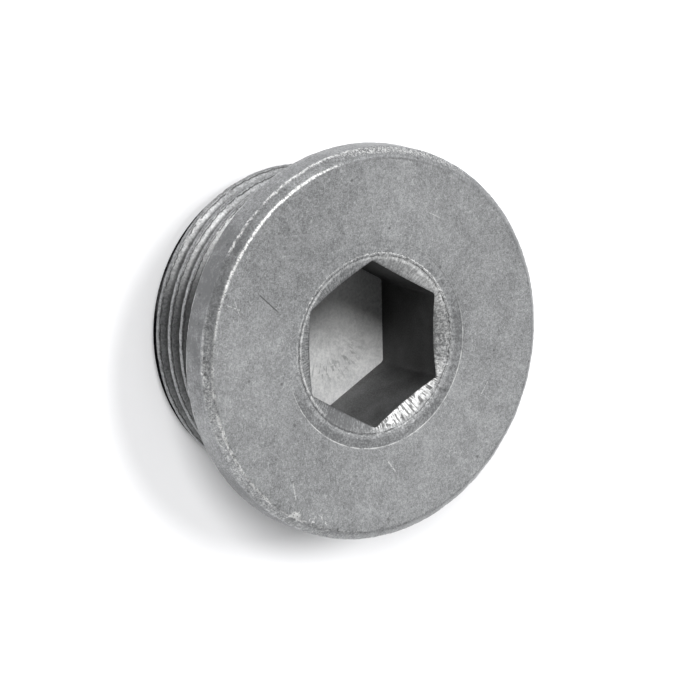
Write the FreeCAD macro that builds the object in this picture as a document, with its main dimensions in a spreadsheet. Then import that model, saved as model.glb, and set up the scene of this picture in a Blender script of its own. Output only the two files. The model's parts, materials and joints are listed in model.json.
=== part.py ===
import FreeCAD, Part
import os

import Sketcher

# Hexagon socket screw plug: a collar and a parallel fine thread, turned from one piece of steel.
# The plug stands on its threaded end. The origin is the centre of that end, and +Z runs up the
# axis and out of the socket. Lengths are in millimetres and angles in degrees.

SIZES = {
    "thread_diameter": 22.0,
    "thread_pitch": 1.5,
    "crest_allowance": 0.1,
    "thread_lead_in": 2.12,
    "shank_length": 10.0,
    "end_chamfer_length": 1.9,
    "end_chamfer_angle": 30.0,
    "relief_depth": 1.15,
    "relief_width": 2.4,
    "relief_flank_angle": 45.0,
    "relief_corner_radius": 0.6,
    "collar_diameter": 27.0,
    "collar_thickness": 3.0,
    "front_chamfer": 0.6,
    "back_chamfer": 0.45,
    "recess_diameter": 14.3,
    "recess_depth": 0.12,
    "countersink_diameter": 12.4,
    "countersink_angle": 120.0,
    "socket_across_flats": 10.0,
    "socket_depth": 6.8,
}

# Form of the 60 degree metric thread: flats at the crest and the root, as shares of the pitch
FLANK_SLOPE = "tan(30deg)"
CREST_FLAT = "(sizes.thread_pitch / 8)"
ROOT_FLAT = "(sizes.thread_pitch / 6)"

# Radii and heights that the turned profile and the cuts share
NOMINAL_RADIUS = "(sizes.thread_diameter / 2)"
CREST_RADIUS = f"({NOMINAL_RADIUS} - sizes.crest_allowance)"
END_RADIUS = f"({CREST_RADIUS} - sizes.end_chamfer_length * tan(sizes.end_chamfer_angle * 1deg))"
RELIEF_RADIUS = f"({NOMINAL_RADIUS} - sizes.relief_depth)"
COLLAR_RADIUS = "(sizes.collar_diameter / 2)"
RECESS_RADIUS = "(sizes.recess_diameter / 2)"
COUNTERSINK_RADIUS = "(sizes.countersink_diameter / 2)"
END_FACE = "0"
UNDERSIDE = "sizes.shank_length"
RELIEF_FOOT = f"({UNDERSIDE} - sizes.relief_width)"
FACE = f"({UNDERSIDE} + sizes.collar_thickness)"
RECESS_FLOOR = f"({FACE} - sizes.recess_depth)"

FULL_TURN = 360
HEXAGON_SIDES = 6
ON_AXIS = "0"
ORIGIN_POINT = (-1, 1)
LINE_START = 1
LINE_END = 2
PARTS_FOLDER = "parts"


def add_sizes(doc):
    """One row of the sheet for each driving dimension, with its name as the alias."""
    sheet = doc.addObject("Spreadsheet::Sheet", "sizes")
    for row, (name, value) in enumerate(SIZES.items(), start=1):
        sheet.set(f"A{row}", name)
        sheet.set(f"B{row}", str(value))
        sheet.setAlias(f"B{row}", name)
    doc.recompute()


def new_sketch(body, name, role):
    """An empty sketch on the body's own origin plane that has this role."""
    plane = next(item for item in body.Origin.OriginFeatures if item.Role == role)
    sketch = body.newObject("Sketcher::SketchObject", name)
    sketch.AttachmentSupport = [(plane, "")]
    sketch.MapMode = "FlatFace"
    return sketch


def measure(item, formula):
    """What the formula comes to with the sizes as they are."""
    return float(item.evalExpression(formula))


def pin(sketch, direction, line, formula):
    """Hold the start of a line at its distance from the sketch's origin, given by the formula."""
    value = measure(sketch, formula)
    dimension = Sketcher.Constraint(direction, *ORIGIN_POINT, line, LINE_START, value)
    index = sketch.addConstraint(dimension)
    sketch.setExpression(f"Constraints[{index}]", formula)


def draw_outline(sketch, corners):
    """A closed outline of straight lines. Each corner is a pair of formulas, across and up."""
    points = [
        FreeCAD.Vector(measure(sketch, across), measure(sketch, up), 0)
        for across, up in corners
    ]
    for start, end in zip(points, points[1:] + points[:1]):
        sketch.addGeometry(Part.LineSegment(start, end), False)
    for line, (across, up) in enumerate(corners):
        following = (line + 1) % len(corners)
        joint = Sketcher.Constraint("Coincident", line, LINE_END, following, LINE_START)
        sketch.addConstraint(joint)
        pin(sketch, "DistanceX", line, across)
        pin(sketch, "DistanceY", line, up)


def turn_blank(body):
    """Everything that is turned: chamfered shank, relief, collar, face recess and countersink."""
    sketch = new_sketch(body, "turned_profile", "XZ_Plane")
    relief_rise = f"({CREST_RADIUS} - {RELIEF_RADIUS}) / tan(sizes.relief_flank_angle * 1deg)"
    # The countersink's cone stops where the socket has already opened the middle
    cone_radius = "(sizes.socket_across_flats / 4)"
    cone_depth = f"({COUNTERSINK_RADIUS} - {cone_radius}) / tan(sizes.countersink_angle * 1deg / 2)"
    draw_outline(sketch, [
        (ON_AXIS, END_FACE),
        (END_RADIUS, END_FACE),
        (CREST_RADIUS, "sizes.end_chamfer_length"),
        (CREST_RADIUS, f"{RELIEF_FOOT} - {relief_rise}"),
        (RELIEF_RADIUS, RELIEF_FOOT),
        (RELIEF_RADIUS, UNDERSIDE),
        (f"{COLLAR_RADIUS} - sizes.back_chamfer", UNDERSIDE),
        (COLLAR_RADIUS, f"{UNDERSIDE} + sizes.back_chamfer"),
        (COLLAR_RADIUS, f"{FACE} - sizes.front_chamfer"),
        (f"{COLLAR_RADIUS} - sizes.front_chamfer", FACE),
        (RECESS_RADIUS, FACE),
        (RECESS_RADIUS, RECESS_FLOOR),
        (COUNTERSINK_RADIUS, RECESS_FLOOR),
        (cone_radius, f"{RECESS_FLOOR} - {cone_depth}"),
        (ON_AXIS, f"{RECESS_FLOOR} - {cone_depth}"),
    ])
    blank = body.newObject("PartDesign::Revolution", "turned_blank")
    blank.Profile = sketch
    blank.ReferenceAxis = (sketch, ["V_Axis"])
    blank.Angle = FULL_TURN
    body.Document.recompute()
    return blank


def circle_at(feature, radius, height):
    """Name of the feature's circular edge about the axis with this radius, at this height."""
    for number, edge in enumerate(feature.Shape.Edges, start=1):
        if isinstance(edge.Curve, Part.Circle):
            offset = max(abs(edge.Curve.Radius - radius), abs(edge.Curve.Center.z - height))
            if offset < Part.Precision.confusion():
                return f"Edge{number}"
    raise ValueError(f"{feature.Label} has no circle of radius {radius} at height {height}")


def round_relief_corner(body, blank):
    """Fillet where the relief runs into the sealing face under the collar."""
    corner = circle_at(blank, measure(blank, RELIEF_RADIUS), measure(blank, UNDERSIDE))
    fillet = body.newObject("PartDesign::Fillet", "relief_corner")
    fillet.Base = (blank, [corner])
    fillet.setExpression("Radius", "sizes.relief_corner_radius")
    return fillet


def cut_thread(body):
    """Right-hand helical groove. It starts below the chamfered end and runs out in the relief."""
    sketch = new_sketch(body, "thread_groove", "XZ_Plane")
    start = f"({END_FACE} - sizes.thread_lead_in)"
    half_mouth = f"((sizes.thread_pitch - {CREST_FLAT}) / 2)"
    half_root = f"({ROOT_FLAT} / 2)"
    root_radius = f"({NOMINAL_RADIUS} - ({half_mouth} - {half_root}) / {FLANK_SLOPE})"
    clear_radius = f"({NOMINAL_RADIUS} + sizes.crest_allowance)"
    draw_outline(sketch, [
        (root_radius, f"{start} - {half_root}"),
        (NOMINAL_RADIUS, f"{start} - {half_mouth}"),
        (clear_radius, f"{start} - {half_mouth}"),
        (clear_radius, f"{start} + {half_mouth}"),
        (NOMINAL_RADIUS, f"{start} + {half_mouth}"),
        (root_radius, f"{start} + {half_root}"),
    ])
    thread = body.newObject("PartDesign::SubtractiveHelix", "thread")
    thread.Profile = sketch
    thread.ReferenceAxis = (sketch, ["V_Axis"])
    thread.Mode = "pitch-height-angle"
    thread.Angle = 0
    thread.setExpression("Pitch", "sizes.thread_pitch")
    thread.setExpression("Height", f"{UNDERSIDE} - sizes.relief_width / 2 - {start}")
    return thread


def cut_socket(body):
    """Hexagon socket, cut from the face down to a flat floor, with two corners on the X axis."""
    sketch = new_sketch(body, "socket_hexagon", "XY_Plane")
    sketch.setExpression("AttachmentOffset.Base.z", FACE)
    side_angle = FULL_TURN / HEXAGON_SIDES
    corner_radius = f"(sizes.socket_across_flats / 2 / cos({side_angle / 2}deg))"
    draw_outline(sketch, [
        (f"{corner_radius} * cos({turn}deg)", f"{corner_radius} * sin({turn}deg)")
        for turn in (side_angle * corner for corner in range(HEXAGON_SIDES))
    ])
    socket = body.newObject("PartDesign::Pocket", "hexagon_socket")
    socket.Profile = sketch
    socket.setExpression("Length", "sizes.socket_depth")
    return socket


def refuse_faults(doc, body, cuts):
    """Stop if anything failed to build, or if a cut took no material away."""
    failed = [item.Label for item in doc.Objects if {"Invalid", "Error"} & set(item.State)]
    if failed:
        raise RuntimeError(f"failed to build: {failed}")
    if body.Shape.isNull() or not body.Shape.isValid() or len(body.Shape.Solids) != 1:
        raise RuntimeError(f"{body.Label} isn't one valid solid")
    for cut in cuts:
        if cut.Shape.Volume >= cut.BaseFeature.Shape.Volume:
            raise RuntimeError(f"{cut.Label} takes nothing away")


def main():
    doc = FreeCAD.newDocument("screw_plug")
    add_sizes(doc)
    body = doc.addObject("PartDesign::Body", "screw_plug")
    body.Label = "screw_plug"
    body.Placement = FreeCAD.Placement()
    blank = turn_blank(body)
    round_relief_corner(body, blank)
    cuts = [cut_thread(body), cut_socket(body)]
    doc.recompute()
    refuse_faults(doc, body, cuts)
    os.makedirs(PARTS_FOLDER, exist_ok=True)
    body.Shape.exportStep(f"{PARTS_FOLDER}/{body.Label}.step")
    print(f"{body.Label}: {body.Shape.Volume:.1f} cubic millimetres")


main()
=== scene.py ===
import json
import math
from functools import reduce
from operator import add

import bmesh
import bpy
from bpy.props import FloatProperty, FloatVectorProperty, PointerProperty
from bpy.types import Operator, Panel, PropertyGroup
from mathutils import Matrix, Vector, noise


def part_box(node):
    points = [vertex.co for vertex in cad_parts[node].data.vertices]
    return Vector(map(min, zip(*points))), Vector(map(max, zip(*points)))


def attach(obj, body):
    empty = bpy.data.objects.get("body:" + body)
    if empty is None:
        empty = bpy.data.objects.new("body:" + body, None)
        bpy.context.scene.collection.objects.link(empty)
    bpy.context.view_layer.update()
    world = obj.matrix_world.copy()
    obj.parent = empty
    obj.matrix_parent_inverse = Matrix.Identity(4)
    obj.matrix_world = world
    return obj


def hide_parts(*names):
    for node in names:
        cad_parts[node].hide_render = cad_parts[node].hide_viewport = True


# Screw plug of tumbled steel: a collar and a fine thread in one piece, with a hexagon socket.
# It stands on its threaded end, the socket up, and the origin is the centre of that end.
# Mesh code is in metres and radians. Materials are in millimetres, and their sides in degrees.

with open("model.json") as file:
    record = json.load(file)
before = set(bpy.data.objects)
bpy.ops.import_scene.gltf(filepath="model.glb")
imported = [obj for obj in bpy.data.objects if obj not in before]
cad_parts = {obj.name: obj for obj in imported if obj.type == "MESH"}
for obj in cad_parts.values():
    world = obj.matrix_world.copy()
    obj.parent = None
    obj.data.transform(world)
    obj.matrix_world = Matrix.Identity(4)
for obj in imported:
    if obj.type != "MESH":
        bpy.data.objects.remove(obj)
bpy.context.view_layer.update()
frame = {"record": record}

bl_info = {
    "name": "Screw plug",
    "version": (1, 0, 0),
    "blender": (4, 5, 0),
    "location": "3D View > Sidebar > Screw plug",
    "description": "Makes a tumbled steel screw plug with a hexagon socket, and a small studio",
    "category": "Add Mesh",
}

NODE = "screw_plug"
PIECE = "plug"
FLOOR = "floor"
BODY = "root"

MM = 0.001
NODE_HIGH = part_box(NODE)[1]
MOUNTS = {mount["name"]: mount for mount in frame["record"]["mounts"]}

# Points nearer than this are the same point, and a hair is a little more than that
MERGE = MM / 1000
HAIR = MM / 100

# Columns round the plug, a whole number for each side of the hexagon
SIDES = 6
COLUMNS_PER_SIDE = 72
COLUMNS = SIDES * COLUMNS_PER_SIDE
FULL_TURN = 2 * math.pi
Z_AXIS = Vector((0, 0, 1))

# The 60 degree metric thread: its flats as shares of the pitch
FLANK_SLOPE = math.tan(math.radians(30))
CREST_FLAT_SHARE = 1 / 8
ROOT_FLAT_SHARE = 1 / 6


def length(name, description, default):
    """A length that the user can change."""
    return FloatProperty(
        name=name, description=description, default=default, unit="LENGTH", precision=5,
    )


def angle(name, description, degrees):
    """An angle that the user can change."""
    return FloatProperty(
        name=name, description=description, default=math.radians(degrees), subtype="ANGLE",
    )


def colour(name, description, default):
    """A colour that the user can change."""
    return FloatVectorProperty(
        name=name, description=description, default=default, subtype="COLOR", min=0, max=1,
    )


class PlugSizes(PropertyGroup):
    """Sizes of the plug."""

    collar_radius: length("Collar radius", "From the axis to the collar's side", NODE_HIGH[0])
    height: length("Height", "From the threaded end to the face", NODE_HIGH[2])
    underside: length(
        "Underside", "Height of the sealing face under the collar",
        MOUNTS["sealing_face"]["pos_m"][2],
    )
    thread_radius: length(
        "Thread radius", "Nominal outer radius of the thread",
        MOUNTS["thread"]["dims"]["r_mm"] * MM,
    )
    pitch: length("Pitch", "Rise of the thread in one turn", 1.5 * MM)
    crest_allowance: length(
        "Crest allowance", "How far the crests stay inside the nominal radius", 0.1 * MM,
    )
    lead_in: length("Lead in", "How far below the end the groove's first root lies", 2.37 * MM)
    end_chamfer: length("End chamfer", "Height of the chamfer at the threaded end", 1.9 * MM)
    end_chamfer_angle: angle("End chamfer angle", "Lean of that chamfer from the axis", 35)
    relief_depth: length("Relief depth", "Depth of the groove between thread and collar", 1.15 * MM)
    relief_width: length("Relief width", "Width of that groove at its floor", 2.4 * MM)
    relief_corner: length("Relief corner", "Radius where the groove meets the collar", 0.6 * MM)
    front_chamfer: length("Front chamfer", "Chamfer between the face and the collar's side", 0.6 * MM)
    back_chamfer: length(
        "Back chamfer", "Chamfer between the collar's side and its underside", 0.45 * MM,
    )
    step_radius: length("Step radius", "Radius of the shallow step round the socket", 7.15 * MM)
    step_depth: length("Step depth", "Depth of that step", 0.04 * MM)
    countersink_radius: length(
        "Countersink radius", "Radius of the cone's rim round the socket", 6.2 * MM,
    )
    countersink_angle: angle("Countersink angle", "Angle of the whole cone", 140)
    across_flats: length("Across flats", "Width of the hexagon socket between its flats", 10.0 * MM)
    socket_depth: length(
        "Socket depth", "From the face down to the socket's floor",
        MOUNTS["hexagon_socket"]["dims"]["length_mm"] * MM,
    )
    edge_rounding: length("Edge rounding", "Width that tumbling took off the collar's edges", 0.13 * MM)


class SteelColours(PropertyGroup):
    """Colours of the steel."""

    dull: colour("Dull", "Steel in the darker blotches", (0.187, 0.19, 0.193))
    plain: colour("Plain", "Tumbled steel", (0.543, 0.55, 0.555))
    # Bright also colours painted highlights on lit edges, the burr, the countersink and the thread's
    # flanks
    bright: colour("Bright", "Steel worn bright on edges", (0.9, 0.9, 0.89))
    # Dark colours the socket's walls and torn places, and also painted shade in the socket floor and
    # the thread's roots and flanks
    dark: colour("Dark", "Phosphated steel in the socket and in torn places", (0.10, 0.10, 0.10))
    # Painted shade on the socket's walls on the side away from the light
    oiled: colour("Oiled", "Socket walls still wet with oil", (0.02, 0.02, 0.02))


class StudioSettings(PropertyGroup):
    """The camera, the floor and the light."""

    view_azimuth: angle("View azimuth", "Direction of the camera round the plug", -111.03)
    view_elevation: angle("View elevation", "Height of the camera above the horizon", 55.28)
    view_roll: angle("View roll", "Turn of the camera about its own axis", -106.41)
    view_distance: length("View distance", "From the camera to the point that it looks at", 378.93 * MM)
    lens_mm: FloatProperty(
        name="Lens", description="Focal length in millimetres", default=289.4, unit="CAMERA",
    )
    cameras_aim: FloatVectorProperty(
        name="Aim", description="Point on the face's plane that the camera looks at",
        default=(0.069 * MM, -2.083 * MM, NODE_HIGH[2]), subtype="XYZ",
    )
    floor_size: length("Floor size", "Side of the floor", 12.0)
    floor_colour: colour("Floor colour", "Pale floor", (0.8, 0.8, 0.81))


def crest_radius(sizes):
    """Radius of the thread's crests."""
    return sizes.thread_radius - sizes.crest_allowance


def relief_radius(sizes):
    """Radius of the relief's floor."""
    return sizes.thread_radius - sizes.relief_depth


def relief_foot(sizes):
    """Height where the relief begins above the thread."""
    return sizes.underside - sizes.relief_width


def socket_corner_radius(sizes):
    """From the axis to a sharp corner of the hexagon."""
    return sizes.across_flats / 2 / math.cos(math.pi / SIDES)


def socket_floor(sizes):
    """Height of the socket's floor."""
    return sizes.height - sizes.socket_depth


def cone_height(sizes, radius):
    """Height of the countersink's cone at this radius."""
    rim = sizes.height - sizes.step_depth
    return rim - (sizes.countersink_radius - radius) / math.tan(sizes.countersink_angle / 2)


def direction(azimuth, elevation):
    """Unit vector that points this way from the plug."""
    flat = math.cos(elevation)
    return Vector((math.cos(azimuth) * flat, math.sin(azimuth) * flat, math.sin(elevation)))


def pick(piece, kind, chosen):
    """In edit mode, select just the vertices or the edges that the test chooses."""
    bpy.ops.mesh.select_all(action="DESELECT")
    bpy.ops.mesh.select_mode(type=kind)
    mesh = bmesh.from_edit_mesh(piece.data)
    for part in {"VERT": mesh.verts, "EDGE": mesh.edges}[kind]:
        part.select_set(chosen(part))
    mesh.select_flush_mode()
    bmesh.update_edit_mesh(piece.data)


def off_axis(point):
    """Distance of the point from the axis."""
    return math.hypot(point.x, point.y)


def on_ring(point, radius, height):
    """True if the point lies on the circle about the axis with this radius and height."""
    return abs(off_axis(point) - radius) < MERGE and abs(point.z - height) < MERGE


def level(edge, height):
    """True if the edge lies at this height."""
    return all(abs(vertex.co.z - height) < MERGE for vertex in edge.verts)


def pick_ring(piece, radius, height):
    """Select the edges of one turned ring."""
    pick(piece, "EDGE", lambda edge: all(on_ring(v.co, radius, height) for v in edge.verts))


def round_ring(piece, radius, height, width, segments):
    """Round the edge that runs along one turned ring."""
    pick_ring(piece, radius, height)
    bpy.ops.mesh.bevel(offset=width, segments=segments, profile=0.5, affect="EDGES")


def resize_ring(scale, height=0):
    """Widen or narrow the selected ring about the axis."""
    bpy.ops.transform.resize(value=(scale, scale, 1), center_override=(0, 0, height))


def turn_rings(stations):
    """Extrude the selected ring through the stations, each a radius and a height."""
    for (radius, height), (new_radius, new_height) in zip(stations, stations[1:]):
        rise = (0, 0, new_height - height)
        bpy.ops.mesh.extrude_edges_move(TRANSFORM_OT_translate={"value": rise})
        resize_ring(new_radius / radius)


def close_ring():
    """Close the selected ring with a fan to its centre."""
    bpy.ops.mesh.extrude_edges_move()
    bpy.ops.mesh.merge(type="CENTER")


def merge_doubles():
    """Merge the vertices that coincide."""
    bpy.ops.mesh.select_all(action="SELECT")
    bpy.ops.mesh.remove_doubles(threshold=MERGE)


def begin(name, add_primitive, **settings):
    """A new object from a primitive, left in edit mode with its mesh selected."""
    bpy.ops.object.select_all(action="DESELECT")
    add_primitive(**settings)
    piece = bpy.context.object
    piece.name = name
    piece.data.name = name
    bpy.ops.object.transform_apply(location=True, rotation=True, scale=True)
    bpy.ops.object.mode_set(mode="EDIT")
    bpy.ops.mesh.select_all(action="SELECT")
    return piece


THREAD_CREST_ROUNDING = 0.055 * MM
THREAD_ROOT_ROUNDING = 0.05 * MM
# Share of a whole flank that an edge has to span to count as one
FLANK_SHARE = 0.9


def thread_corners(sizes):
    """Corners of the thread's section, from a root below the end up to the relief."""
    crest = crest_radius(sizes)
    nominal_half_mouth = sizes.pitch * (1 - CREST_FLAT_SHARE) / 2
    half_root = sizes.pitch * ROOT_FLAT_SHARE / 2
    root = sizes.thread_radius - (nominal_half_mouth - half_root) / FLANK_SLOPE
    half_mouth = nominal_half_mouth - sizes.crest_allowance * FLANK_SLOPE
    start = -sizes.lead_in
    turns = math.ceil((relief_foot(sizes) - start) / sizes.pitch)
    corners = [(root, start)]
    for turn in range(turns):
        low = start + turn * sizes.pitch
        corners += [
            (root, low + half_root),
            (crest, low + half_mouth),
            (crest, low + sizes.pitch - half_mouth),
            (root, low + sizes.pitch - half_root),
        ]
    corners.append((root, start + turns * sizes.pitch))
    return corners


def draw_thread_profile(sizes):
    """The thread's section beside the axis, as one line from a root below the end upward."""
    corners = thread_corners(sizes)
    crest = crest_radius(sizes)
    root, start = corners[0]
    profile = begin("thread", bpy.ops.mesh.primitive_plane_add, size=MM, location=(root, 0, start))
    bpy.ops.mesh.merge(type="CENTER")
    for (radius, height), (new_radius, new_height) in zip(corners, corners[1:]):
        step = (new_radius - radius, 0, new_height - height)
        bpy.ops.mesh.extrude_region_move(TRANSFORM_OT_translate={"value": step})
    middle = (crest + root) / 2
    flank = FLANK_SLOPE * (crest - root) * FLANK_SHARE
    pick(profile, "VERT", lambda v: v.co.x > middle and len(v.link_edges) == 2)
    bpy.ops.mesh.bevel(offset=THREAD_CREST_ROUNDING, segments=3, affect="VERTICES")
    pick(profile, "VERT", lambda v: v.co.x < root + HAIR and len(v.link_edges) == 2)
    bpy.ops.mesh.bevel(offset=THREAD_ROOT_ROUNDING, segments=2, affect="VERTICES")
    pick(profile, "EDGE", lambda e: abs(e.verts[0].co.x - e.verts[1].co.x) > flank)
    bpy.ops.mesh.subdivide(number_cuts=3)
    pick(profile, "EDGE", lambda e: all(abs(v.co.x - crest) < MERGE for v in e.verts))
    bpy.ops.mesh.subdivide(number_cuts=1)
    bpy.ops.object.mode_set(mode="OBJECT")
    return profile


TURNED_BLEND = 0.04 * MM
END_EDGE_INSET = 0.3 * MM


def smaller(a, b, blend):
    """The smaller of two lengths, with a rounded change over from one to the other."""
    share = max(0.0, 1 - abs(a - b) / blend)
    return min(a, b) - blend * share * share / 4


def cut_thread_ends(thread, sizes):
    """Square ends for the helix, then the end chamfer and the run-out in the relief."""
    bpy.ops.object.mode_set(mode="EDIT")
    merge_doubles()
    foot = relief_foot(sizes)
    for height, side in ((0, -1), (foot, 1)):
        bpy.ops.mesh.select_all(action="SELECT")
        bpy.ops.mesh.bisect(
            plane_co=(0, 0, height), plane_no=(0, 0, side), clear_outer=True, threshold=MERGE,
        )
    chamfer = math.tan(sizes.end_chamfer_angle)
    end_radius = crest_radius(sizes) - sizes.end_chamfer * chamfer
    mesh = bmesh.from_edit_mesh(thread.data)
    for vertex in mesh.verts:
        radius = off_axis(vertex.co)
        chamfer_limit = end_radius + vertex.co.z * chamfer
        run_out = relief_radius(sizes) + foot - vertex.co.z
        new_radius = smaller(smaller(radius, chamfer_limit, TURNED_BLEND), run_out, TURNED_BLEND)
        for height, ring_radius in ((0, end_radius), (foot, relief_radius(sizes))):
            if abs(vertex.co.z - height) < MERGE:
                new_radius = ring_radius
                turn = math.atan2(vertex.co.y, vertex.co.x)
                column = round(turn / FULL_TURN * COLUMNS) * FULL_TURN / COLUMNS
                vertex.co = (radius * math.cos(column), radius * math.sin(column), height)
        vertex.co.x *= new_radius / radius
        vertex.co.y *= new_radius / radius
    bmesh.update_edit_mesh(thread.data)
    merge_doubles()
    pick_ring(thread, end_radius, 0)
    radii = (end_radius, end_radius - END_EDGE_INSET, end_radius / 2, end_radius / 20)
    turn_rings([(radius, 0) for radius in radii])
    close_ring()
    bpy.ops.object.mode_set(mode="OBJECT")


def make_thread(sizes):
    """The threaded shank, from its end face up to the foot of the relief."""
    thread = draw_thread_profile(sizes)
    screw = thread.modifiers.new("helix", "SCREW")
    screw.axis = "Z"
    screw.angle = FULL_TURN
    screw.screw_offset = sizes.pitch
    screw.steps = COLUMNS
    bpy.ops.object.modifier_apply(modifier=screw.name)
    cut_thread_ends(thread, sizes)
    return thread


STEP_SLOPE = 0.15 * MM
# Rings of the face, inward from the front chamfer, that keep the worn edge's shading off the rest
FACE_RINGS_MM = (0.25, 0.5, 0.8, 5.0)
# The burr round the countersink: how far out from its rim, and how far above the step
BURR_MM = (
    (0.16, 0.0), (0.12, 0.006), (0.05, 0.006), (0.0, -0.006), (-0.05, -0.022), (-0.1, -0.036),
    (-0.17, -0.054), (-0.25, -0.08),
)
BURR_INSIDE = 0.33 * MM


def make_collar(sizes):
    """Relief, collar, face and countersink, turned from one ring. It is left in edit mode."""
    low = relief_foot(sizes)
    groove = relief_radius(sizes)
    side = sizes.collar_radius
    top = sizes.height
    under = sizes.underside
    rim = top - sizes.step_depth
    lip = sizes.countersink_radius
    back = sizes.back_chamfer
    front = sizes.front_chamfer
    step_top = sizes.step_radius + STEP_SLOPE / 3
    step_foot = sizes.step_radius - STEP_SLOPE
    stations = [
        (groove, low),
        (groove, under),
        (side - back, under),
        (side, under + back),
        (side, top - front),
        (side - front, top),
        *((side - front - inward * MM, top) for inward in FACE_RINGS_MM),
        (step_top, top),
        (step_foot, rim),
        *((lip + out * MM, rim + up * MM) for out, up in BURR_MM),
        (lip - BURR_INSIDE, cone_height(sizes, lip - BURR_INSIDE)),
    ]
    collar = begin(
        "collar", bpy.ops.mesh.primitive_circle_add,
        vertices=COLUMNS, radius=groove, fill_type="NOTHING", location=(0, 0, low),
    )
    turn_rings(stations)
    width = sizes.edge_rounding
    round_ring(collar, groove, under, sizes.relief_corner, 6)
    round_ring(collar, side - back, under, width, 3)
    round_ring(collar, side, under + back, width, 3)
    round_ring(collar, side, top - front, width, 4)
    round_ring(collar, side - front, top, width, 4)
    round_ring(collar, step_top, top, STEP_SLOPE / 3, 2)
    round_ring(collar, step_foot, rim, STEP_SLOPE / 3, 2)
    return collar


SOCKET_CORNER = 0.17 * MM
CORNER_SEGMENTS = 4
WALL_RING = 1.0 * MM
# How far each ring of the mouth's rounded edge spreads outward, and lies below the cone
MOUTH_ROUNDING_MM = ((0.0, 0.07), (0.01, 0.035), (0.02, 0.02), (0.05, 0.0))
# Each ring of the socket's floor as a share of the ring round it
FLOOR_RING_SHARES = (0.97, 0.8, 0.75, 0.7, 0.6, 0.5, 0.3)


def draw_hexagon(collar, sizes):
    """The hexagon on the socket's floor, with rounded corners and as many points as columns."""
    corner = socket_corner_radius(sizes)
    floor = socket_floor(sizes)
    bpy.ops.mesh.select_all(action="DESELECT")
    bpy.ops.mesh.primitive_circle_add(
        vertices=SIDES, radius=corner, fill_type="NOTHING", location=(0, 0, floor),
        rotation=(0, 0, math.pi / 2),
    )
    bpy.ops.mesh.select_mode(type="VERT")
    bpy.ops.mesh.bevel(offset=SOCKET_CORNER, segments=CORNER_SEGMENTS, affect="VERTICES")
    pick(collar, "EDGE", lambda e: level(e, floor) and e.calc_length() > corner / 2)
    bpy.ops.mesh.subdivide(number_cuts=COLUMNS_PER_SIDE - CORNER_SEGMENTS - 1)
    pick(collar, "EDGE", lambda e: level(e, floor))


def cut_socket(collar, sizes):
    """The hexagon socket, drawn on its floor, drawn up to the cone and bridged to the rim."""
    floor = socket_floor(sizes)
    lip = sizes.countersink_radius - BURR_INSIDE
    draw_hexagon(collar, sizes)
    rise = {"value": (0, 0, WALL_RING)}
    bpy.ops.mesh.extrude_edges_move(TRANSFORM_OT_translate=rise)
    for spread, drop in MOUTH_ROUNDING_MM:
        bpy.ops.mesh.extrude_edges_move(TRANSFORM_OT_translate=rise)
        resize_ring(1 + spread * MM / (sizes.across_flats / 2))
        mesh = bmesh.from_edit_mesh(collar.data)
        for vertex in mesh.verts:
            if vertex.select:
                vertex.co.z = cone_height(sizes, off_axis(vertex.co)) - drop * MM
        bmesh.update_edit_mesh(collar.data)
    top = cone_height(sizes, sizes.across_flats / 2) - MM
    pick(collar, "EDGE", lambda e: e.is_boundary and top < e.verts[0].co.z
         and off_axis(e.verts[0].co) < lip + HAIR)
    bpy.ops.mesh.bridge_edge_loops(number_cuts=3)
    pick(collar, "EDGE", lambda e: e.is_boundary and level(e, floor))
    for share in FLOOR_RING_SHARES:
        bpy.ops.mesh.extrude_edges_move()
        resize_ring(share, floor)
    close_ring()
    bpy.ops.object.mode_set(mode="OBJECT")


# How deep tumbling and use wore the edges, and how far that reaches from them
EDGE_ZONE = 1.3 * MM
EDGE_REACH = 0.5 * MM
EDGE_WEAR = 0.06 * MM
NICK_AZIMUTH = math.radians(-31.5)
NICK_INWARD = 0.5 * MM
NICK_REACH = 0.6 * MM
NICK_DEPTH = 0.13 * MM
NICK_LEAN = 0.7
# The side where the front chamfer is narrower: azimuth, spread, and spread of the full worn line
WIDE_FACE_SIDE = (math.radians(-60), math.radians(42), math.radians(12))
WIDE_FACE = 0.13 * MM
# The burr's ragged lip, worn and wavering about a ring just inside the countersink's rim
LIP_INWARD = 0.08 * MM
LIP_REACH = 0.24 * MM
LIP_WEAR = 0.035 * MM
LIP_WAVER = 0.035 * MM
CREST_ZONE = 0.3 * MM
CREST_WEAR = 0.05 * MM


def edge_nearness(sizes, radius, height):
    """One on the collar's edges, falling to nothing at the edges' reach."""
    top = sizes.height
    side = sizes.collar_radius
    edges = (
        (side - sizes.front_chamfer, top),
        (side, top - sizes.front_chamfer),
        (side, sizes.underside + sizes.back_chamfer),
        (side - sizes.back_chamfer, sizes.underside),
    )
    away = min(math.hypot(radius - r, height - z) for r, z in edges)
    return max(0.0, 1 - away / EDGE_REACH)


def widen_face(vertex, outward, radius, sizes):
    """Move the front chamfer's inner edge outward on its narrower side."""
    azimuth, spread, _ = WIDE_FACE_SIDE
    turn = math.atan2(vertex.co.y, vertex.co.x)
    aside = abs(math.remainder(turn - azimuth, FULL_TURN))
    edge_radius = sizes.collar_radius - sizes.front_chamfer
    away = math.hypot(radius - edge_radius, vertex.co.z - sizes.height)
    wide = 0.5 + 0.5 * math.cos(math.pi * min(1.0, aside / spread))
    vertex.co += outward * (WIDE_FACE * wide * max(0.0, 1 - away / EDGE_REACH))


def cut_nick(vertex, outward, sizes):
    """Press the nick into the front edge."""
    nick = direction(NICK_AZIMUTH, 0) * (sizes.collar_radius - NICK_INWARD)
    nick.z = sizes.height
    near = 1 - (vertex.co - nick).length / NICK_REACH
    if near > 0:
        depth = NICK_DEPTH * near ** 2 * (3 - 2 * near)
        vertex.co -= (outward + Z_AXIS) * (NICK_LEAN * depth)


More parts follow.
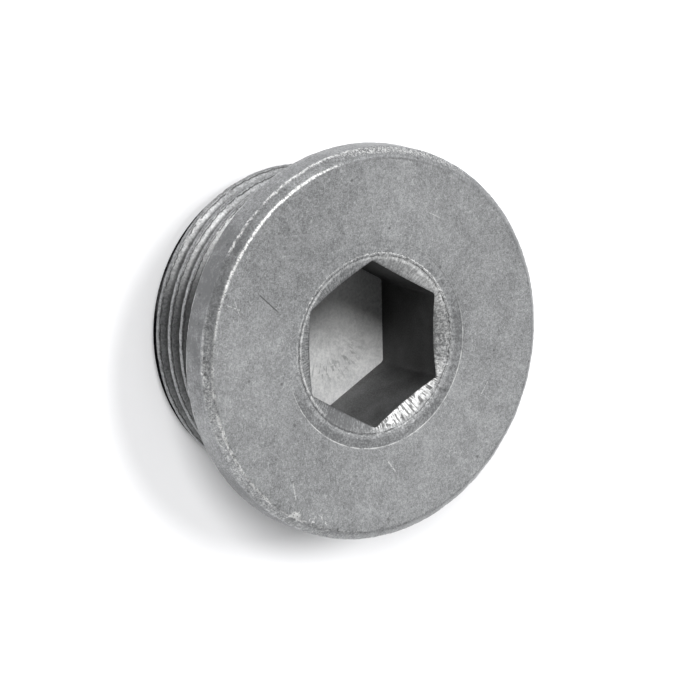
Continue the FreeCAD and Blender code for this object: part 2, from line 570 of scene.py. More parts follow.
def wear_edges(piece, sizes):
    """Small dents and tears that tumbling and use left along the edges."""
    top = sizes.height
    lip = sizes.countersink_radius - LIP_INWARD
    for vertex in piece.data.vertices:
        point = vertex.co
        radius = off_axis(point)
        if radius < MM:
            continue
        spot = point / MM
        outward = Vector((point.x, point.y, 0)) / radius
        if radius > sizes.collar_radius - EDGE_ZONE and point.z > sizes.underside - MM / 10:
            widen_face(vertex, outward, radius, sizes)
            lump = noise.noise(spot * 1.1) * 0.4 + noise.noise(spot * 4.5) * 0.6
            wear = EDGE_WEAR * max(0.0, 0.25 + lump) * edge_nearness(sizes, radius, point.z)
            lean = Z_AXIS if point.z > top - MM else Vector()
            vertex.co -= (outward + lean) * wear
            cut_nick(vertex, outward, sizes)
        elif abs(radius - lip) < LIP_REACH and point.z > top - MM:
            vertex.co.z += LIP_WEAR * (noise.noise(spot * 3.0) + noise.noise(spot * 8.0) - 0.8)
            vertex.co += outward * (LIP_WAVER * (noise.noise(spot * 2.2) + noise.noise(spot * 6.0)))
        elif radius > crest_radius(sizes) - CREST_ZONE and point.z < relief_foot(sizes):
            torn = max(0.0, noise.noise(spot * 2.0) - 0.1) + max(0.0, noise.noise(spot * 5.0))
            vertex.co -= outward * (CREST_WEAR * torn)


class Value:
    """A number that a node gives, with Python's operators for maths on it."""

    def __init__(self, graph, socket):
        self.graph = graph
        self.socket = socket

    def math(self, operation, *others):
        """The result of a Math node on this value and the others."""
        return self.graph.node("ShaderNodeMath", {"operation": operation}, self, *others)

    def __add__(self, other):
        return self.math("ADD", other)

    __radd__ = __add__

    def __sub__(self, other):
        return self.math("SUBTRACT", other)

    def __rsub__(self, other):
        return self.graph.node("ShaderNodeMath", {"operation": "SUBTRACT"}, other, self)

    def __mul__(self, other):
        return self.math("MULTIPLY", other)

    __rmul__ = __mul__

    def __truediv__(self, other):
        return self.math("DIVIDE", other)

    def __abs__(self):
        return self.math("ABSOLUTE")

    def __pow__(self, other):
        return self.math("POWER", other)


# Outputs and inputs of nodes that are told by their number
OBJECT_OUTPUT = 3
DOT_OUTPUT = 1
MIXED_COLOUR_OUTPUT = 2
SOCKETS_BEFORE_COLOURS = (None,) * 5


class Graph:
    """Builds one node tree."""

    def __init__(self, tree):
        self.tree = tree
        tree.nodes.clear()

    def node(self, kind, settings=None, *values, output=0, **named):
        """A node of this kind, its settings made first, then its sockets filled or linked."""
        made = self.tree.nodes.new(kind)
        for name, setting in (settings or {}).items():
            setattr(made, name, setting)
        for socket, value in [*enumerate(values), *named.items()]:
            if value is None:
                continue
            target = made.inputs[socket if isinstance(socket, int) else socket.replace("_", " ")]
            if isinstance(value, Value):
                self.tree.links.new(value.socket, target)
            else:
                target.default_value = value
        return Value(self, made.outputs[output]) if made.outputs else made

    def ramp(self, value, low, high, start=0.0, end=1.0):
        """A smooth change from start to end as the value goes from low to high."""
        settings = {"interpolation_type": "SMOOTHSTEP"}
        return self.node("ShaderNodeMapRange", settings, value, low, high, start, end)

    def near(self, value, centre, reach):
        """One at the centre, falling smoothly to nothing at that reach either side."""
        return self.ramp(abs(value - centre), 0.0, reach, 1.0, 0.0)

    def noise(self, place, scale, detail=2.0, roughness=0.5, distortion=0.0):
        """Fractal noise about one half, its scale in features for each unit of the place."""
        return self.node(
            "ShaderNodeTexNoise", Vector=place, Scale=scale, Detail=detail, Roughness=roughness,
            Distortion=distortion,
        )

    def mix(self, share, *colours):
        """A colour between two colours."""
        ends = [end if isinstance(end, Value) else (*end, 1) for end in colours]
        return self.node(
            "ShaderNodeMix", {"data_type": "RGBA"}, share, *SOCKETS_BEFORE_COLOURS, *ends,
            output=MIXED_COLOUR_OUTPUT,
        )


# Lines along an edge: how far out from it they lie, and half their width. They carry wear with painted
# highlight, and the burr's gap and the face shade line carry painted shade
# The burr's lines: painted highlights outside and inside, and painted shade between
BURR_BRIGHT_OUTER = (0.08, 0.085)
BURR_BRIGHT_INNER = (-0.26, 0.14)
BURR_DARK = (-0.08, 0.065)
FACE_EDGE_LINE = (-0.02, 0.17)
SIDE_EDGE_LINE = (0.0, 0.17)
BACK_EDGE_LINE = (0.0, 0.16)
CROWN_LINE = (-0.2, 0.22)
FACE_SHADE_LINE = (-0.17, 0.14)
RING_LINE = (-0.04, 0.06)
# Dead black for the painted shadow on the thread's tip
SHADE_BLACK = (0.01, 0.01, 0.012, 1)


class Steel(Graph):
    """A steel material, with the place on the plug in millimetres, its radius and its height."""

    def __init__(self, name):
        self.material = bpy.data.materials.new(name)
        self.material.use_nodes = True
        super().__init__(self.material.node_tree)
        place = self.node("ShaderNodeTexCoord", output=OBJECT_OUTPUT)
        self.place = self.node("ShaderNodeVectorMath", {"operation": "SCALE"}, place, Scale=1 / MM)
        split = self.node("ShaderNodeSeparateXYZ", None, self.place).socket.node
        self.x, self.y, self.height = (Value(self, socket) for socket in split.outputs)
        self.radius = (self.x * self.x + self.y * self.y) ** 0.5

    def spots(self, *settings):
        """Noise over the plug: its scale, detail, roughness and distortion."""
        return self.noise(self.place, *settings)

    def patches(self, low, high, *settings):
        """One where that noise is high, and nothing where it is low."""
        return self.ramp(self.spots(*settings), low, high)

    def swept(self, radial, around, detail, roughness):
        """Noise with these scales along the radius and round the axis, with no seam."""
        across = self.x / self.radius * around
        along = self.y / self.radius * around
        out = (self.radius + self.height) * radial
        place = self.node("ShaderNodeCombineXYZ", None, across, along, out)
        return self.noise(place, 1.0, detail, roughness)

    def toward(self, azimuth, spread, full, strength=1.0):
        """This strength toward one side of the axis, fading from full to spread degrees off it."""
        aim = (math.cos(math.radians(azimuth)), math.sin(math.radians(azimuth)))
        share = (self.x * aim[0] + self.y * aim[1]) / self.radius
        limits = (math.cos(math.radians(spread)), math.cos(math.radians(full)))
        return self.ramp(share, *limits, 0.0, strength)

    def around(self, *sides):
        """The strengths toward all these sides together."""
        return reduce(add, [self.toward(*side) for side in sides])

    def line(self, value, edge, out, half_width):
        """A line along an edge."""
        return self.near(value, edge + out, half_width)

    def burr_lines(self, sizes):
        """The burr's ragged lines: painted highlights on its lip, and the painted shade line between
        them.
        """
        rim = sizes.countersink_radius / MM
        waver = self.radius + (self.spots(3.0, 3.0, 0.7) - 0.5) * 0.22
        apart = self.radius + (self.spots(2.0, 4.0, 0.7) - 0.5) * 0.2
        broken = self.patches(0.38, 0.54, 4.5, 4.0, 0.8)
        granular = self.patches(0.4, 0.56, 11.0, 2.0, 0.7)
        patchy = self.patches(0.4, 0.55, 1.5, 3.0, 0.6)
        # Painted highlight: the burr's lines are strongest on the sides that face the light
        outer_sides = 0.3 + self.around((-170, 110, 40, 0.4), (150, 45, 20, 0.25))
        inner_sides = 0.1 + self.around((-98, 62, 35, 0.8), (160, 55, 30, 0.25))
        bright = self.line(waver, rim, *BURR_BRIGHT_OUTER) * outer_sides
        bright = bright + self.line(apart, rim, *BURR_BRIGHT_INNER) * inner_sides
        # Painted shade: the dark line between the burr's lines
        burr_gap_shade = self.line(waver, rim, *BURR_DARK) * (0.5 + 0.5 * patchy) * (0.5 + 0.5 * broken)
        return bright * (0.1 + 0.9 * broken) * (0.3 + 0.7 * granular), burr_gap_shade

    def hairs(self, scale, width):
        """Thin curved lines, broken into short strokes."""
        course = self.near(self.spots(scale, 1.0, 0.5), 0.5, width)
        return course * self.patches(0.5, 0.6, scale * 1.3, 2.0, 0.5)

    def stroke(self, start, end, width):
        """A straight scratch on the face between two points."""
        run = math.dist(start, end)
        ux, uy = (end[0] - start[0]) / run, (end[1] - start[1]) / run
        along = (self.x - start[0]) * ux + (self.y - start[1]) * uy
        across = (self.y - start[1]) * ux - (self.x - start[0]) * uy
        ends = self.ramp(along, 0.0, run * 0.2) * self.ramp(along, run * 0.7, run, 1.0, 0.0)
        return self.near(across, 0.0, width) * ends

    def spot(self, azimuth, radius, reach):
        """One at a place on the face, falling to nothing at the reach."""
        x = self.x - radius * math.cos(azimuth)
        y = self.y - radius * math.sin(azimuth)
        return self.ramp((x * x + y * y) ** 0.5, 0.0, reach, 1.0, 0.0)

    def pits(self, scale, size):
        """Small round pits, one here and there."""
        cell = self.node("ShaderNodeTexVoronoi", Vector=self.place, Scale=scale)
        return self.ramp(cell, size * 0.5, size, 1.0, 0.0) * self.patches(0.45, 0.6, 0.5, 2.0, 0.5)

    def layers(self, colours, tone, worn, dark, darkest):
        """The colour from its tone, then where it is worn bright and where highlight is painted, then
        where it is dark and where shade is painted.
        """
        here = self.mix(tone, colours.dull, colours.plain)
        here = self.mix(worn.math("MINIMUM", 1.0), here, colours.bright)
        return self.mix(dark.math("MINIMUM", darkest), here, colours.dark)

    def finish(self, here, roughness, bump, depth_mm, metallic=1.0, black_shade=None):
        """The shader, with a bump of this depth, and dead black where painted shade is asked for."""
        normal = self.node("ShaderNodeBump", Strength=1.0, Distance=depth_mm * MM, Height=bump)
        shader = self.node(
            "ShaderNodeBsdfPrincipled", Base_Color=here, Metallic=metallic, Roughness=roughness,
            Normal=normal,
        )
        if black_shade is not None:
            black = self.node(
                "ShaderNodeBsdfPrincipled", Base_Color=SHADE_BLACK, Roughness=0.9, Specular_IOR_Level=0.0,
            )
            shader = self.node("ShaderNodeMixShader", None, black_shade, shader, black)
        self.node("ShaderNodeOutputMaterial", None, shader)
        return self.material


# Marks on the face: the nick's radius, the scuff's azimuth, radius and reach, and each scratch's
# start, end and half width
NICK_RADIUS = 12.9
SCUFF = (math.radians(-23), 12.7, 1.7)
DARK_SCRATCH = ((-4.75, -9.36), (-2.95, -7.43), 0.07)
LIGHT_SCRATCHES = (
    ((-4.25, -11.87), (-3.58, -10.33), 0.06),
    ((-4.6, -11.2), (-3.0, -10.6), 0.05),
    ((8.2, -6.9), (10.1, -6.6), 0.08),
    ((7.9, 0.6), (9.2, 1.6), 0.09),
    ((3.6, 9.2), (4.9, 8.3), 0.05),
    ((-8.8, 4.1), (-8.0, 5.6), 0.05),
)


def chamfer_marks(steel, chamfer, mixed):
    """Bright flecks and dark specks on the front chamfer."""
    chips = steel.spots(3.8, 3.0, 0.65)
    chipped = chamfer * steel.toward(-93, 17, 8)
    flecks = chamfer * steel.ramp(mixed, 0.47, 0.58)
    flecks = flecks * (0.05 + steel.around((-55, 60, 25, 0.4), (166, 28, 14, 0.5)))
    flecks = flecks + chipped * steel.ramp(chips, 0.5, 0.58) * 0.28
    specks = chamfer * steel.ramp(steel.spots(6.5, 2.0, 0.6), 0.36, 0.43, 1.0, 0.0)
    specks = specks * steel.around((-62, 55, 30, 0.44), (162, 28, 14, 0.55))
    return flecks, specks + chipped * steel.ramp(chips, 0.4, 0.46, 1.0, 0.0) * 0.4


def tumbled_steel(colours, sizes):
    """The collar and the face: matt and mottled, with its edges worn bright, and painted light and
    shade on its side, its front chamfer and its edges.
    """
    steel = Steel("tumbled_steel")
    radius, height = steel.radius, steel.height
    top = sizes.height / MM
    out = sizes.collar_radius / MM
    step = sizes.step_radius / MM
    face_out = out - sizes.front_chamfer / MM
    side_top = top - sizes.front_chamfer / MM
    side_foot = (sizes.underside + sizes.back_chamfer) / MM
    cone = face_out + top

    # Where the face, the collar's side and the front chamfer are, and the chamfer's rubbed side
    high = steel.ramp(height, top - 0.25, top - 0.1)
    outside = steel.ramp(radius, out - 0.3, out - 0.15)
    side = outside * steel.ramp(height, top - 0.8, top - 0.65, 1.0, 0.0)
    chamfer = (1 - high) * steel.ramp(radius + height, cone - 0.1, cone)
    rubbed_and_highlit = (1 - high) * steel.ramp(radius, face_out, face_out + 0.15) * steel.toward(-110, 34, 4)

    # How pale the steel is: mottled, paler on some sides and duller on others; on the collar's side and
    # the front chamfer that is painted light and shade
    blotch = steel.spots(0.6, 3.0, 0.55, 0.5)
    fleck = steel.spots(5.5, 3.0, 0.7)
    grain = steel.spots(10.0, 2.0, 0.7)
    mixed = fleck * 0.5 + grain * 0.5
    hairs = (steel.hairs(1.6, 0.022) + steel.hairs(2.3, 0.025)).math("MINIMUM", 1.0)
    tone = steel.ramp(fleck, 0.3, 0.7) * 0.32 + steel.ramp(grain, 0.3, 0.7) * 0.36 + hairs * 0.28
    tone = tone * (1 - rubbed_and_highlit * 0.4) + steel.ramp(blotch, 0.3, 0.7) * 0.16 + 0.02
    tone = tone + rubbed_and_highlit * (steel.spots(1.3, 4.0, 0.6, 0.4) - 0.5) * 0.9
    tone = tone - steel.around((-140, 55, 0, 0.17), (115, 60, 0, 0.09), (-48, 60, 0, 0.07))
    tone = tone + steel.toward(-91, 30, 0, 0.06)
    band = high * steel.ramp(radius, step - 0.75, step - 0.6)
    band = band * steel.ramp(radius, step - 0.1, step, 1.0, 0.0)
    tone = tone - band * steel.toward(25, 105, 70, 0.24)
    # Painted light and shade on the collar's side, by the way it faces
    pale = steel.around((-168, 50, 10, 0.22), (-55, 30, 10, 0.12)) - 0.2
    tone = tone + side * (pale - steel.around((-97, 22, 10, 0.06), (-42, 20, 10, 0.25)))
    # Painted light on the front chamfer on two sides
    tone = tone + chamfer * steel.around((70, 110, 80, 0.18), (-62, 48, 28, 0.22))

    # Bright wear along the edges, with painted highlight: strong on the sides that face the light and
    # gone on others
    granular = steel.ramp(grain * 0.6 + fleck * 0.4, 0.40, 0.52)
    ragged = steel.patches(0.36, 0.58, 1.2, 4.0, 0.7)
    patchy = steel.patches(0.44, 0.56, 0.8, 3.0, 0.6)
    wander = (steel.spots(1.6, 4.0, 0.65) - 0.5) * 0.3
    wide = steel.toward(*map(math.degrees, WIDE_FACE_SIDE), WIDE_FACE / MM)
    face_edge = high * steel.line(radius - wide + wander * 0.6, face_out, *FACE_EDGE_LINE)
    side_edge = outside * steel.line(height + wander, side_top, *SIDE_EDGE_LINE)
    back_edge = outside * steel.line(height + wander, side_foot, *BACK_EDGE_LINE)
    inner = steel.toward(-135, 43, 16) + steel.toward(-70, 40, 30) * (0.12 + 0.3 * ragged)
    inner = inner + steel.toward(-50, 52, 22) * (0.2 + 0.75 * patchy)
    outer = steel.around((-150, 32, 20, 0.95), (-96, 13, 6, 0.4))
    worn = face_edge * (0.6 + 0.4 * ragged) * inner
    worn = worn + side_edge * (0.25 + 0.75 * ragged) * outer + back_edge * 0.5 * ragged
    worn = worn * (0.25 + 0.75 * granular)

    # Other bright marks, with painted highlight in the ring, the crown line and the burr, and then dark
    # ones, with painted shade in the burr's gap and along the face's edge
    flecks, specks = chamfer_marks(steel, chamfer, mixed)
    burr, burr_gap_shade = steel.burr_lines(sizes)
    # The step's edge worn bright, with painted highlight on the sides that face the light
    ring_sides = steel.toward(15, 95, 75) * (0.22 + 0.4 * ragged) + steel.toward(130, 45, 20, 0.25)
    ring = steel.line(radius + wander * 0.15, step, *RING_LINE) * ring_sides
    nick = steel.spot(NICK_AZIMUTH, NICK_RADIUS, 0.25 + 0.7 * mixed)
    nick = (high + chamfer) * nick * steel.ramp(mixed, 0.4, 0.46) * 1.6
    # Painted highlight along the front chamfer on its upper side
    crown = steel.line(radius + wander * 0.4, out, *CROWN_LINE) * steel.toward(170, 24, 10, 0.28)
    scratches = reduce(add, [steel.stroke(*scratch) for scratch in LIGHT_SCRATCHES])
    on_face = burr + ring + steel.spot(*SCUFF) * hairs * 0.9 + scratches * granular * 0.5
    worn = worn + flecks + nick + high * on_face + chamfer * crown * granular
    worn = steel.ramp(worn, 0.0, 1.0)
    # Painted shade: a dark line along the face's edge on one side
    edge_shade = steel.line(radius + wander * 0.3, face_out, *FACE_SHADE_LINE) * steel.toward(162, 26, 12)
    # Dark marks: painted shade at the burr and along the face's edge, and the dark scratch, pits and
    # specks
    cuts_and_shade = high * (burr_gap_shade + edge_shade * (0.15 + 0.3 * ragged) + steel.stroke(*DARK_SCRATCH))
    cuts_and_shade = cuts_and_shade + steel.pits(1.1, 0.16) * 0.6 + specks

    here = steel.layers(colours, tone, worn, cuts_and_shade, 0.95)
    roughness = 0.5 + 0.12 * (1 - tone) - 0.15 * worn
    bump = (fleck * 0.4 + grain * 0.5) * (1 - rubbed_and_highlit * 0.45) + blotch * 0.3 + hairs * 0.1
    bump = bump - cuts_and_shade * 0.5 + granular * (face_edge + flecks) * 0.4
    return steel.finish(here, roughness, bump, 0.02)


def countersink_steel(colours, sizes):
    """The cone round the socket: scraped, with short chatter marks that run up its slope, painted
    highlight on its lit sector and painted shade on other sides.
    """
    steel = Steel("countersink_steel")
    inner = steel.ramp(steel.radius, 5.8, 6.02, 1.0, 0.0)
    lit_sector = steel.toward(38, 46, 24)
    rough = steel.toward(95, 52, 15)
    chatter = steel.ramp(steel.swept(0.9, 48.0, 1.0, 0.5), 0.48, 0.56)
    marks = chatter * steel.patches(0.38, 0.46, 2.2, 2.0, 0.5) * (0.25 + 0.75 * inner)
    marks = marks * steel.toward(33, 48, 25)
    squiggle = steel.spots(5.0, 2.0, 0.6, 1.0)
    fine = steel.swept(1.2, 70.0, 3.0, 0.6)
    grain = steel.spots(6.0, 3.0, 0.6)
    tone = steel.ramp(fine, 0.4, 0.6) * 0.45 + steel.ramp(grain, 0.32, 0.68) * 0.55
    burr, burr_gap_shade = steel.burr_lines(sizes)
    # Painted shade on the cone's sides that face away from the light
    shade = inner * steel.around((-150, 44, 16, 0.22), (162, 24, 8, 0.3))
    shade = shade + steel.around((-22, 26, 13, 0.45), (92, 24, 12, 0.45))
    # Painted highlight on the cone's lit sector and on one other side
    worn = 0.05 + steel.toward(132, 60, 20, 0.5) + lit_sector * (0.05 + 0.6 * inner)
    worn = worn * (0.35 + 0.65 * tone) * (1 - shade)
    worn = worn + steel.ramp(squiggle, 0.53, 0.6) * rough * 0.35 + burr * 0.8
    # More painted shade on two sides
    tone = tone - shade - steel.around((-45, 40, 15, 0.2), (-95, 22, 10, 0.1))
    hollow = steel.ramp(squiggle, 0.36, 0.44, 1.0, 0.0) * rough * 0.5
    here = steel.layers(colours, tone, worn, marks * 0.85 + hollow + burr_gap_shade, 0.9)
    bump = fine * 0.5 + grain * 0.4 - marks * 0.6 + squiggle * rough * 0.8
    return steel.finish(here, 0.46 + 0.1 * (1 - tone), bump, 0.02)


def socket_wall_steel(colours, sizes):
    """The socket's walls: smooth, dark and matt, with painted shade on the walls that face away from
    the light and a little painted light on one side.
    """
    steel = Steel("socket_wall_steel")
    haze = steel.spots(0.5, 3.0, 0.5)
    grain = steel.spots(9.0, 2.0, 0.6)
    tone = steel.ramp(haze, 0.3, 0.7) * 0.15 + steel.ramp(grain, 0.35, 0.7) * 0.15
    # Painted light: the walls on one side a little paler
    tone = tone + steel.toward(20, 70, 0, 0.06)
    here = steel.mix(tone, colours.dark, colours.plain)
    # Painted shade: the walls on the far side almost black
    here = steel.mix(steel.toward(118, 80, 58, 0.55), here, colours.oiled)
    return steel.finish(here, 0.58 - 0.1 * tone, haze * 0.3 + grain * 0.5, 0.01, metallic=0.8)


# The ring of dashes on the socket's floor: its radius and its reach
DASH_RING = (3.1, 1.5)


def socket_floor_steel(colours, sizes):
    """The socket's floor: painted shade on the side under the walls that block the light, with short
    dark dashes round its middle.
    """
    steel = Steel("socket_floor_steel")
    streak = steel.swept(0.5, 9.0, 4.0, 0.65)
    dash = steel.ramp(steel.swept(1.3, 19.0, 2.0, 0.5), 0.52, 0.58)
    dashes = dash * steel.patches(0.42, 0.5, 2.2, 2.0, 0.5) * steel.near(steel.radius, *DASH_RING)
    dashes = dashes * (0.1 + steel.toward(25, 60, 15, 0.9))
    grain = steel.spots(8.0, 3.0, 0.6)
    haze = steel.spots(0.7, 3.0, 0.5)
    mottle = steel.patches(0.3, 0.7, 4.0, 4.0, 0.7)
    tone = steel.ramp(streak, 0.35, 0.65) * 0.3 + steel.ramp(grain, 0.3, 0.7) * 0.35
    tone = tone + steel.ramp(haze, 0.35, 0.65) * 0.35
    # Painted shade: the floor darker on the side under the walls that block the light
    slope = steel.x * 0.9 - steel.y * 0.42 + (haze - 0.5) * 1.5 + (streak - 0.5) * 0.8
    floor_shade = steel.ramp(slope, -0.6, 2.0, 0.38, 0.0) * steel.ramp(slope, -3.4, -1.2, 0.2, 1.0)
    here = steel.mix(0.12 + 0.6 * tone + 0.45 * mottle, colours.plain, colours.bright)
    here = steel.mix(floor_shade, here, colours.dark)
    here = steel.mix(dashes * 0.5, here, colours.dull)
    bump = streak * 0.3 + grain * 0.4 - dashes * 0.3 + mottle * 0.4
    return steel.finish(here, 0.6 + 0.1 * (1 - tone), bump, 0.015, metallic=0.0)


# Heights between which the thread's upper turns begin to take painted shade and painted highlight, and
# its tip's painted shadow ends
UPPER_SHADED = (4.2, 4.7)
UPPER_HIGHLIT = (4.0, 4.6)
TIP_END = (1.28, 1.44)


def thread_steel(colours, sizes):
    """The thread: rolled flanks and crests rubbed in places, with painted highlight on its lit flanks
    and painted shade in its roots, on its shaded flanks and on its black tip.
    """
    steel = Steel("thread_steel")
    blotch = steel.spots(0.9, 4.0, 0.6)
    fleck = steel.spots(6.0, 3.0, 0.7)
    wander = (steel.spots(1.8, 4.0, 0.7) - 0.5) * 0.3
    top = crest_radius(sizes) / MM
    torn = steel.near(steel.radius + wander, top - 0.12, 0.06) * steel.ramp(blotch, 0.36, 0.44)
    crest = steel.ramp(steel.radius + wander * 0.15, top - 0.09, top - 0.03)
    flank = steel.ramp(steel.radius + wander * 0.3, top - 0.5, top - 0.3)
    clean = flank * (1 - crest)
    # Height up to which the tip carries painted shadow, higher on one side and lower on another
    tip = steel.height + wander * 0.5 + steel.around((170, 60, 10, 0.36), (-72, 32, 12, -0.25))
    tone = steel.ramp(blotch, 0.3, 0.7) * 0.35 + steel.ramp(fleck, 0.3, 0.7) * 0.65
    tone = tone * (1 - crest * 0.35)
    speckle = steel.ramp(steel.spots(5.0, 3.0, 0.7), 0.4, 0.48, 1.0, 0.0) * crest
    # Painted shade on the flanks that face away from the light, and on the upper flanks under the
    # collar
    dim = steel.around((-75, 45, 30, 0.3), (-166, 26, 8, 0.3))
    dim = dim + steel.ramp(steel.height, *UPPER_SHADED) * steel.toward(-98, 30, 14, 0.4)
    # Painted highlight on the lit flanks, and on the upper turns on one side
    rubbed_and_highlit = steel.ramp(steel.height, *UPPER_HIGHLIT) * steel.toward(-145, 26, 12, 0.6)
    worn = clean * (0.7 + 0.3 * steel.ramp(fleck, 0.4, 0.6))
    worn = worn * (steel.toward(-126, 25, 8, 0.75) + rubbed_and_highlit)
    # Painted shade in the roots, where the flanks meet; the torn crests and speckle are the steel's own
    dark = torn * 0.8 + (1 - flank) * 0.7 + clean * dim + speckle * 0.45
    here = steel.layers(colours, tone, worn * 0.45, dark, 0.95)
    bump = fleck * (0.4 - 0.25 * worn) + blotch * 0.3 - torn * 0.6
    # Painted shadow: the tip and the end chamfer dead black, where shade falls near the floor
    black_shade = steel.ramp(tip, *TIP_END, 1.0, 0.0)
    return steel.finish(here, 0.44 + 0.12 * (1 - tone), bump, 0.025, black_shade=black_shade)


FINISHES = (tumbled_steel, thread_steel, countersink_steel, socket_wall_steel, socket_floor_steel)
# Height of a face's normal below which the face counts as upright
UPRIGHT = 0.3


def finish_at(face, sizes):
    """The steel of the region of the plug that this face belongs to."""
    centre = face.center
    radius = off_axis(centre)
    corner = socket_corner_radius(sizes)
    floor = socket_floor(sizes)
    if HAIR < centre.z < relief_foot(sizes) and radius > corner + MM:
        return thread_steel
    if radius < corner + HAIR and centre.z > MM and abs(face.normal.z) < UPRIGHT:
        return socket_wall_steel
    if radius < corner and abs(centre.z - floor) < MM / 2:
        return socket_floor_steel
    if radius < sizes.countersink_radius and centre.z > floor + MM:
        return countersink_steel
    return tumbled_steel


def dress(piece, colours, sizes):
    """Give each region of the plug its own steel."""
    for finish in FINISHES:
        piece.data.materials.append(finish(colours, sizes))
    for face in piece.data.polygons:
        face.material_index = FINISHES.index(finish_at(face, sizes))


def refuse_open_edges(piece):
    """Stop if the piece isn't closed."""
    mesh = bmesh.new()
    mesh.from_mesh(piece.data)
    count = sum(not edge.is_manifold for edge in mesh.edges)
    mesh.free()
    if count:
        raise RuntimeError(f"{piece.name} has {count} open edges")


class PLUG_OT_make(Operator):
    """Make the screw plug: thread, collar and socket as one worn piece of steel"""

    bl_idname = "screwplug.make"
    bl_label = "Screw plug"
    bl_options = {"REGISTER", "UNDO"}

    def execute(self, context):
        sizes = context.scene.plug_sizes
        thread = make_thread(sizes)
        plug = make_collar(sizes)
        cut_socket(plug, sizes)
        bpy.ops.object.select_all(action="DESELECT")
        thread.select_set(True)
        plug.select_set(True)
        context.view_layer.objects.active = plug
        bpy.ops.object.join()
        plug.name = PIECE
        plug.data.name = PIECE
        bpy.ops.object.mode_set(mode="EDIT")
        bpy.ops.mesh.select_mode(type="VERT")
        merge_doubles()
        bpy.ops.mesh.normals_make_consistent(inside=False)
        bpy.ops.object.mode_set(mode="OBJECT")
        wear_edges(plug, sizes)
        bpy.ops.object.shade_smooth_by_angle(angle=math.radians(40))
        refuse_open_edges(plug)
        dress(plug, context.scene.steel_colours, sizes)
        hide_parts(NODE)
        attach(plug, BODY)
        return {"FINISHED"}


def add_camera(studio):
    """The camera at the photograph's viewing angle."""
    toward = direction(studio.view_azimuth, studio.view_elevation)
    place = Vector(studio.cameras_aim) + toward * studio.view_distance
    right = Z_AXIS.cross(toward).normalized()
    up = toward.cross(right)
    turn = Matrix((right, up, toward)).transposed() @ Matrix.Rotation(-studio.view_roll, 3, "Z")
    bpy.ops.object.camera_add(location=place, rotation=turn.to_euler())
    camera = bpy.context.object
    camera.name = "camera"
    camera.data.lens = studio.lens_mm
    bpy.context.scene.camera = camera


# Softboxes: azimuth and elevation in degrees, distance and size in metres, radiance, what they light
SOFTBOXES = {
    "low": (-42, 24, 1.5, 0.9, 1.3, PIECE),
    "socket_lamp": (-167, 52, 1.5, 0.45, 29.0, PIECE),
    "top": (-125, 80, 1.5, 0.4, 3.5, PIECE),
    "key": (-165, 52, 1.5, 0.85, 3.4, PIECE),
    "window": (150, 50, 1.5, 1.2, 3.0, PIECE),
    "side": (62, 50, 1.6, 1.6, 1.0, PIECE),
    "table_lamp": (-124, 54.5, 1.5, 0.41, 44.5, FLOOR),
    "second_table_lamp": (177, 72.5, 1.5, 0.42, 30.4, FLOOR),
}
# Softboxes that the steel mirrors but that light nothing else, and the one that it doesn't mirror
MIRRORED_ONLY = ("key", "window", "side", "low", "top")
UNMIRRORED = ("socket_lamp",)


def add_softbox(name, azimuth, elevation, distance, size, radiance, lit):
    """A round softbox that faces the plug, and lights the plug or the floor alone."""
    toward = direction(math.radians(azimuth), math.radians(elevation))
    bpy.ops.object.light_add(
        type="AREA", location=toward * distance, rotation=toward.to_track_quat("Z", "Y").to_euler(),
    )
    light = bpy.context.object
    light.name = name
    light.data.shape = "DISK"
    light.data.size = size
    light.data.energy = radiance * math.pi * math.pi * (size / 2) ** 2
    light.visible_camera = False
    light.visible_diffuse = name not in MIRRORED_ONLY
    light.visible_glossy = name not in UNMIRRORED
    receivers = bpy.data.collections.new(name + "_lights")
    receivers.objects.link(bpy.data.objects[lit])
    light.light_linking.receiver_collection = receivers


# The room's dim side, and how near to it, as a cosine, the room begins and ends to be dim
DIM_SIDE = direction(math.radians(-68), math.radians(61))
DIM_FROM, DIM_FULL = 0.6, 0.97
ROOM_LIGHT = 0.4
ROOM_DIM = 0.04
ROOM_COLOUR = (0.98, 0.99, 1, 1)
WHITE = (1, 1, 1, 1)


def add_world():
    """A pale room that is dim on the camera's side. The camera itself sees it white."""
    world = bpy.data.worlds.new("studio")
    bpy.context.scene.world = world
    world.use_nodes = True
    sky = Graph(world.node_tree)
    seen = sky.node("ShaderNodeLightPath")
    look = sky.node("ShaderNodeTexCoord")
    share = sky.node(
        "ShaderNodeVectorMath", {"operation": "DOT_PRODUCT"}, look, DIM_SIDE, output=DOT_OUTPUT,
    )
    light = sky.ramp(share, DIM_FROM, DIM_FULL, ROOM_LIGHT, ROOM_DIM)
    white = sky.node("ShaderNodeBackground", None, WHITE, 1.0)
    room = sky.node("ShaderNodeBackground", None, ROOM_COLOUR, light)
    shown = sky.node("ShaderNodeMixShader", None, seen, room, white)
    sky.node("ShaderNodeOutputWorld", None, shown)


FLOOR_GLOW = 0.12
FLOOR_GREY = (0.8, 0.8, 0.8)
FLOOR_GRAIN = 300.0
FLOOR_MOTTLE = 0.05
FLOOR_ROUGHNESS = 0.8


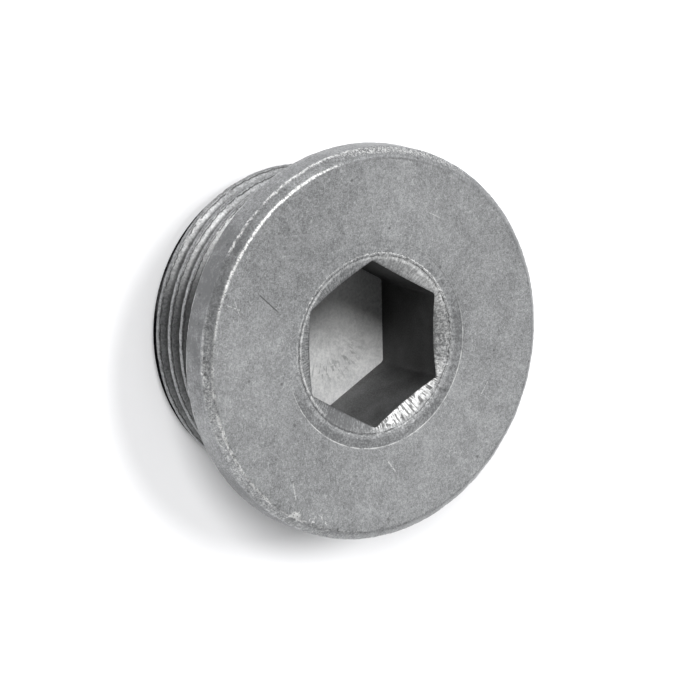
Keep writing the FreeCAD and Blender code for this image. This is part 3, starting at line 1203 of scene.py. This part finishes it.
def floor_material(studio):
    """Pale and matt, with a little glow of its own."""
    material = bpy.data.materials.new("pale_floor")
    material.use_nodes = True
    graph = Graph(material.node_tree)
    place = graph.node("ShaderNodeTexCoord", output=OBJECT_OUTPUT)
    grain = graph.noise(place, FLOOR_GRAIN)
    shader = graph.node(
        "ShaderNodeBsdfPrincipled", Base_Color=graph.mix(
            grain * FLOOR_MOTTLE, studio.floor_colour, FLOOR_GREY),
        Roughness=FLOOR_ROUGHNESS, Emission_Color=WHITE, Emission_Strength=FLOOR_GLOW,
    )
    graph.node("ShaderNodeOutputMaterial", None, shader)
    return material


class PLUG_OT_studio(Operator):
    """Make the pale floor, the soft lights and the camera"""

    bl_idname = "screwplug.studio"
    bl_label = "Studio"
    bl_options = {"REGISTER", "UNDO"}

    def execute(self, context):
        studio = context.scene.studio_settings
        bpy.ops.object.select_all(action="DESELECT")
        bpy.ops.mesh.primitive_plane_add(size=studio.floor_size)
        floor = context.object
        floor.name = FLOOR
        floor.data.materials.append(floor_material(studio))
        add_world()
        for name, settings in SOFTBOXES.items():
            add_softbox(name, *settings)
        add_camera(studio)
        context.scene.view_settings.view_transform = "Standard"
        return {"FINISHED"}


class PLUG_PT_panel(Panel):
    """Lists the operators, and what they read"""

    bl_label = "Screw plug"
    bl_space_type = "VIEW_3D"
    bl_region_type = "UI"
    bl_category = "Screw plug"

    def draw(self, context):
        for operator in (PLUG_OT_make, PLUG_OT_studio):
            self.layout.operator(operator.bl_idname)
        for settings in PROPERTIES:
            group = getattr(context.scene, settings)
            for name in group.bl_rna.properties.keys():
                if name not in ("rna_type", "name"):
                    self.layout.prop(group, name)


CLASSES = (PlugSizes, SteelColours, StudioSettings, PLUG_OT_make, PLUG_OT_studio, PLUG_PT_panel)
PROPERTIES = {
    "plug_sizes": PlugSizes,
    "steel_colours": SteelColours,
    "studio_settings": StudioSettings,
}


def register():
    """Register the classes, and hang their settings on the scene."""
    for item in CLASSES:
        bpy.utils.register_class(item)
    for name, group in PROPERTIES.items():
        setattr(bpy.types.Scene, name, PointerProperty(type=group))


def unregister():
    """Take the settings off the scene, and the classes out."""
    for name in PROPERTIES:
        delattr(bpy.types.Scene, name)
    for item in reversed(CLASSES):
        bpy.utils.unregister_class(item)


def main():
    """Make the plug and its studio."""
    register()
    bpy.ops.screwplug.make()
    bpy.ops.screwplug.studio()


if __name__ == "__main__":
    main()
